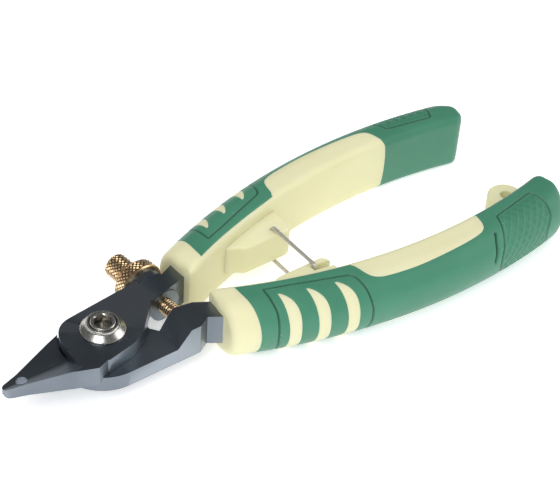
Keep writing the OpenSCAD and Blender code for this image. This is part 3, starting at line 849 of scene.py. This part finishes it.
for side, body in bodyOf.items():
    finishPiece(makeCover(side), body, [side + "_grip_cover"], finish["greenRubber"], 50)
    finishPiece(makeCore(side), body, [side + "_grip_core"], finish["creamPlastic"], 40)
print("grips made")


# Steel halves: the frame's own shapes with their edges broken

steel = dict(edge=0.16, sharp=26.0, flat=0.6, nutEdge=0.3, nutSharp=40.0)


def edgedCopy(node, name, edge, sharp):
    source = frame["nodes"][node]
    mesh = source.data.copy()
    bm = bmesh.new()
    bm.from_mesh(mesh)
    bmesh.ops.remove_doubles(bm, verts=bm.verts, dist=2e-6)
    bmesh.ops.dissolve_limit(bm, angle_limit=math.radians(steel["flat"]), verts=bm.verts, edges=bm.edges)
    bm.to_mesh(mesh)
    bm.free()
    shadeByAngle(mesh, sharp)
    thing = newObject(name + "Raw", mesh)
    soft = thing.modifiers.new("edges", "BEVEL")
    soft.width, soft.segments, soft.limit_method = edge * mm, 2, "ANGLE"
    soft.angle_limit = math.radians(sharp)
    soft.use_clamp_overlap = True
    soft.harden_normals = True
    tri = thing.modifiers.new("flat", "TRIANGULATE")
    tri.min_vertices = 5
    return baked(thing, name)


for side, body in bodyOf.items():
    half = edgedCopy(side + "_half", side + "SteelHalf", steel["edge"], steel["sharp"])
    finishPiece(half, body, [side + "_half"], finish["bluedSteel"], None)
nut = edgedCopy("pivot_nut", "pivotNut", steel["nutEdge"], steel["nutSharp"])
finishPiece(nut, "lower_handle", ["pivot_nut"], finish["nickel"], None)
print("steel made")


# Pivot: a turned collar and a socket screw

pivot = dict(
    collar=[(2.6, 0.0), (5.3, 0.0), (5.48, 0.1), (5.5, 0.25), (5.42, 0.42), (5.1, 0.66), (4.2, 1.45),
            (3.98, 1.7), (3.93, 2.0), (3.88, 2.18), (3.75, 2.29), (3.55, 2.3), (3.4, 2.24), (3.34, 2.1),
            (3.32, 0.72), (2.6, 0.72)],
    head=[(2.5, -1.9), (3.1, -1.9), (3.1, -0.4), (3.04, -0.18), (2.9, -0.04), (2.72, 0.0), (2.5, 0.0),
          (2.42, -0.04), (2.0, -0.3, 6), (2.0, -2.3, 6), (0.0, -2.9)],
    turns=96)
pivotLow, pivotHigh = boxOf("pivot_collar")
screwLow, screwHigh = boxOf("pivot_screw")
pivotAt = ((pivotLow[0] + pivotHigh[0]) / 2, (pivotLow[1] + pivotHigh[1]) / 2)


def turned(name, profile, centre, z0, turns, closed=True):
    # Profile of (radius, height), with a third entry where the ring is a hexagon of that half width; the
    # hexagon rings carry painted shade for the socket
    bm = bmesh.new()
    creaseShade = bm.verts.layers.float.new("creaseShade")
    rings = []
    for i in range(turns):
        a = 2 * math.pi * i / turns
        flat = math.cos(a % (math.pi / 3) - math.pi / 6)
        ring = []
        for r, z, *hexed in profile:
            r = r / flat if hexed else r
            vert = bm.verts.new(((centre[0] + r * math.cos(a)) * mm, (centre[1] + r * math.sin(a)) * mm,
                                 (z0 + z) * mm))
            # Painted shade inside the hex socket
            vert[creaseShade] = 0.9 if hexed else 0.0
            ring.append(vert)
        rings.append(ring)
    n = len(profile)
    for i in range(turns):
        for j in range(n if closed else n - 1):
            a, b = rings[i], rings[(i + 1) % turns]
            bm.faces.new((a[j], b[j], b[(j + 1) % n], a[(j + 1) % n]))
    bmesh.ops.remove_doubles(bm, verts=bm.verts, dist=1e-7)
    bmesh.ops.recalc_face_normals(bm, faces=bm.faces)
    mesh = bpy.data.meshes.new(name)
    bm.to_mesh(mesh)
    bm.free()
    return newObject(name, mesh)


collar = turned("pivotCollar", pivot["collar"], pivotAt, pivotLow[2], pivot["turns"])
finishPiece(collar, "lower_handle", ["pivot_collar"], finish["nickel"], 40)
foot = screwLow[2] - screwHigh[2]
screw = turned("pivotScrew", [(0.0, foot), (2.2, foot), (2.5, foot + 0.3)] + pivot["head"], pivotAt,
               screwHigh[2], pivot["turns"], closed=False)
finishPiece(screw, "lower_handle", ["pivot_screw"], finish["nickel"], 32)
print("pivot made")


# Knurled knob and lock nut, and the threaded rod: geometry nodes on a plain cylinder

stop = jointOf("knob_turn")
stopAxis = Vector(stop["axis"]).normalized()
stopTurn = stopAxis.to_track_quat("Z", "Y").to_matrix().to_4x4()


def stopFrame(start):
    return Matrix.Translation(Vector(stop["pos_m"]) + stopAxis * start * mm) @ stopTurn @ Matrix.Scale(mm, 4)


def alongStop(node):
    axis = np.array(stopAxis)
    co = np.array([v.co for v in frame["nodes"][node].data.vertices])
    height = (co - np.array(stop["pos_m"])) @ axis / mm
    return float(height.min()), float(height.max())


def makeTurnedTree(name, threaded):
    # A bar with raised points between two families of helical grooves, or with a thread
    tree = startTree(name, ("Radius", "Length", "Tooth Depth", "Chamfer", "Plain Start", "Plain End",
                            "Plain Radius", "Teeth", "Lead"), ("Around", "Rings"))
    inside = tree.nodes.new("NodeGroupInput")
    calc = calcIn(tree)

    def wave(value):
        # Triangle wave: 0 at whole numbers, 1 half way
        return calc("MULTIPLY", calc("PINGPONG", value, 0.5), 2.0)

    bar = tree.nodes.new("GeometryNodeMeshCylinder")
    bar.fill_type = "NGON"
    tree.links.new(inside.outputs["Around"], bar.inputs["Vertices"])
    tree.links.new(inside.outputs["Rings"], bar.inputs["Side Segments"])
    tree.links.new(inside.outputs["Length"], bar.inputs["Depth"])
    bar.inputs["Radius"].default_value = 1.0
    split = tree.nodes.new("ShaderNodeSeparateXYZ")
    place = tree.nodes.new("GeometryNodeInputPosition")
    tree.links.new(place.outputs[0], split.inputs[0])
    height = calc("ADD", split.outputs["Z"], calc("MULTIPLY", inside.outputs["Length"], 0.5))
    left = calc("SUBTRACT", inside.outputs["Length"], height)
    turn = calc("DIVIDE", calc("ARCTAN2", split.outputs["Y"], split.outputs["X"]), 2 * math.pi)
    teeth = calc("MULTIPLY", turn, inside.outputs["Teeth"])
    climb = calc("DIVIDE", height, inside.outputs["Lead"])
    if threaded:
        tooth = calc("MINIMUM", calc("MULTIPLY", wave(calc("SUBTRACT", climb, turn)), 1.25), 1.0)
    else:
        both = calc("MINIMUM", wave(calc("ADD", teeth, climb)), wave(calc("SUBTRACT", teeth, climb)))
        tooth = calc("MINIMUM", calc("MULTIPLY", both, 1.5), 1.0)
    groove = calc("SUBTRACT", 1.0, tooth)
    low = calc("GREATER_THAN", height, inside.outputs["Plain Start"])
    high = calc("GREATER_THAN", left, inside.outputs["Plain End"])
    worked = calc("MULTIPLY", low, high)
    cutDepth = calc("MULTIPLY", calc("MULTIPLY", groove, inside.outputs["Tooth Depth"]), worked)
    ends = calc("MINIMUM", height, left)
    slope = calc("MAXIMUM", calc("SUBTRACT", inside.outputs["Chamfer"], ends), 0.0)
    plain = calc("MULTIPLY", calc("SUBTRACT", 1.0, low), inside.outputs["Plain Radius"])
    radius = calc("ADD", inside.outputs["Radius"], plain)
    radius = calc("SUBTRACT", calc("SUBTRACT", radius, cutDepth), slope)
    join = tree.nodes.new("ShaderNodeCombineXYZ")
    for axis in "XY":
        tree.links.new(calc("MULTIPLY", split.outputs[axis], radius), join.inputs[axis])
    tree.links.new(height, join.inputs["Z"])
    # Painted shade in the knurl and thread grooves, stored for the shader
    grooveShade = calc("MULTIPLY", groove, calc("MULTIPLY", worked, calc("GREATER_THAN", ends, 0.01)))
    moveAndPaint(tree, bar.outputs["Mesh"], calc("POWER", grooveShade, 2.2), "Position", join.outputs[0])
    return tree


turnedPieces = {
    "stopKnob": dict(node="stop_knob", body="knob", radius=3.2, teeth=17, lead=1.15, perTooth=10, rings=52,
                     depth=0.26, chamfer=0.4, plainStart=0.3, plainEnd=0.12, plainRadius=-0.25),
    "lockNut": dict(node="lock_nut", body="nut", radius=6.15, teeth=32, lead=1.15, perTooth=10, rings=34,
                    depth=0.28, chamfer=0.3, plainStart=0.7, plainEnd=0.1, plainRadius=0.0),
    "stopRod": dict(node="stop_rod", body="rod", radius=2.0, teeth=1, lead=0.7, perTooth=36, rings=200,
                    depth=0.22, chamfer=0.4, plainStart=0.0, plainEnd=0.0, plainRadius=0.0),
}
knurlTree = makeTurnedTree("knurledBar", False)
threadTree = makeTurnedTree("threadedBar", True)
for name, shape in turnedPieces.items():
    start, stopAt = alongStop(shape["node"])
    holder = newObject(name + "Raw", bpy.data.meshes.new(name + "Raw"))
    build = holder.modifiers.new("turned", "NODES")
    build.node_group = threadTree if name == "stopRod" else knurlTree
    setInputs(build, {
        "Radius": shape["radius"], "Length": stopAt - start, "Tooth Depth": shape["depth"],
        "Chamfer": shape["chamfer"], "Plain Start": shape["plainStart"], "Plain End": shape["plainEnd"],
        "Plain Radius": shape["plainRadius"], "Teeth": float(shape["teeth"]), "Lead": shape["lead"],
        "Around": shape["teeth"] * shape["perTooth"], "Rings": shape["rings"], "Material": finish["brass"]})
    piece = baked(holder, name)
    piece.data.transform(stopFrame(start))
    finishPiece(piece, shape["body"], [shape["node"]], finish["brass"], 22)
print("stop screw made")


# Wire bail: one wire bent at its corners

bail = dict(wire=0.5, bend=1.0, pin=3.2, bends=8, around=20)


def roundedPath(corners, radius, steps):
    p = [Vector(c) for c in corners]
    out = [p[0]]
    for before, here, after in zip(p, p[1:], p[2:]):
        a = here + (before - here).normalized() * radius
        b = here + (after - here).normalized() * radius
        centre = a + b - here
        for k in range(steps + 1):
            t = math.pi / 2 * k / steps
            out.append(centre + (a - centre) * math.cos(t) + (b - centre) * math.sin(t))
    return out + [p[-1]]


def wireMesh(name, path, radius, around):
    bm = bmesh.new()
    rings = []
    for i, here in enumerate(path):
        ahead = (path[min(i + 1, len(path) - 1)] - path[max(i - 1, 0)]).normalized()
        side = ahead.cross(Vector((1, 0, 0))).normalized()
        other = ahead.cross(side)
        rings.append([bm.verts.new((here + (side * math.cos(a) + other * math.sin(a)) * radius) * mm)
                      for a in np.linspace(0, 2 * math.pi, around + 1)[:-1]])
    for a, b in zip(rings, rings[1:]):
        for j in range(around):
            bm.faces.new((a[j], b[j], b[(j + 1) % around], a[(j + 1) % around]))
    bm.faces.new(rings[0])
    bm.faces.new(rings[-1][::-1])
    bmesh.ops.recalc_face_normals(bm, faces=bm.faces)
    mesh = bpy.data.meshes.new(name)
    bm.to_mesh(mesh)
    bm.free()
    return newObject(name, mesh)


armZ = (bailHigh[2] - bailLow[2]) / 2 - bail["wire"]
pinEnd = armZ - bail["bend"] - bail["pin"]
near, far = centreY + bailY, centreY - bailY
corners = [(bailX, near, centreZ + pinEnd), (bailX, near, centreZ + armZ), (bailX, far, centreZ + armZ),
           (bailX, far, centreZ - armZ), (bailX, near, centreZ - armZ), (bailX, near, centreZ - pinEnd)]
path = roundedPath(corners, bail["bend"], bail["bends"])
wire = wireMesh("wireBail", path, bail["wire"], bail["around"])
finishPiece(wire, "bail", ["wire_bail"], finish["springWire"], 60)
for node, look in (("spring_washer", "nickel"), ("return_spring", "springWire")):
    plain = frame["nodes"][node]
    plain.data.materials.clear()
    plain.data.materials.append(finish[look])
print("bail made")


# Floor, lights and camera

room = dict(floorSize=3.0, floor=(0.86, 0.87, 0.88), floorGlow=0.45,
            world=(0.93, 0.96, 1.0), worldDiffuse=0.35, worldGloss=0.14,
            lamps=[((-0.6, -0.35, 0.8), 1.15, 34, True), ((0.15, 0.3, 1.0), 0.9, 70, False),
                   ((-0.3, -0.95, 0.4), 0.7, 60, False), ((0.8, -0.45, 0.45), 0.7, 40, True)])
view = dict(azimuth=-40.46, elevation=40.81, roll=4.75, distance=435.6, lens=111.8, look=(54.4, 2.8, 8.1))


def addFloor():
    size = room["floorSize"]
    mesh = bpy.data.meshes.new("floor")
    mesh.from_pydata([(-size, -size, -2e-5), (size, -size, -2e-5), (size, size, -2e-5), (-size, size, -2e-5)],
                     [], [(0, 1, 2, 3)])
    floor = newObject("floor", mesh)
    material = bpy.data.materials.new("paperFloor")
    material.use_nodes = True
    tree = material.node_tree
    skin = tree.nodes["Principled BSDF"]
    noise = addNode(tree, "ShaderNodeTexNoise", values={"Scale": 400.0, "Detail": 2.0})
    place = addNode(tree, "ShaderNodeTexCoord")
    bump = addNode(tree, "ShaderNodeBump", values={"Strength": 0.05, "Distance": 0.0002})
    tree.links.new(place.outputs["Object"], noise.inputs["Vector"])
    tree.links.new(noise.outputs["Fac"], bump.inputs["Height"])
    tree.links.new(bump.outputs["Normal"], skin.inputs["Normal"])
    skin.inputs["Base Color"].default_value = room["floor"] + (1,)
    skin.inputs["Roughness"].default_value = 0.7
    skin.inputs["Emission Color"].default_value = (1, 1, 1, 1)
    skin.inputs["Emission Strength"].default_value = room["floorGlow"]
    mesh.materials.append(material)


def addLights():
    world = bpy.data.worlds.new("studio")
    bpy.context.scene.world = world
    world.use_nodes = True
    tree = world.node_tree
    back = tree.nodes["Background"]
    back.inputs["Color"].default_value = room["world"] + (1,)
    path = addNode(tree, "ShaderNodeLightPath")
    level = addNode(tree, "ShaderNodeMapRange", values={
        "To Min": room["worldDiffuse"], "To Max": room["worldGloss"]})
    tree.links.new(path.outputs["Is Glossy Ray"], level.inputs["Value"])
    tree.links.new(level.outputs["Result"], back.inputs["Strength"])
    for i, (direction, strength, spread, inGloss) in enumerate(room["lamps"]):
        data = bpy.data.lights.new(f"softLight{i}", "SUN")
        data.energy = strength
        data.angle = math.radians(spread)
        lamp = bpy.data.objects.new(f"softLight{i}", data)
        lamp.rotation_euler = Vector(direction).to_track_quat("Z", "Y").to_euler()
        lamp.visible_glossy = inGloss
        bpy.context.collection.objects.link(lamp)


def addCamera():
    az, el = math.radians(view["azimuth"]), math.radians(view["elevation"])
    back = Vector((math.sin(az) * math.cos(el), -math.cos(az) * math.cos(el), math.sin(el)))
    data = bpy.data.cameras.new("camera")
    data.lens, data.sensor_width, data.clip_start = view["lens"], 36, 0.01
    camera = bpy.data.objects.new("camera", data)
    turn = (-back).to_track_quat("-Z", "Y").to_matrix() @ Matrix.Rotation(math.radians(view["roll"]), 3, "Z")
    place = Vector(view["look"]) * mm + back * view["distance"] * mm
    camera.matrix_world = Matrix.Translation(place) @ turn.to_4x4()
    bpy.context.collection.objects.link(camera)
    bpy.context.scene.camera = camera


addFloor()
addLights()
addCamera()
bpy.context.scene.view_settings.view_transform = "Standard"
print("stage made")
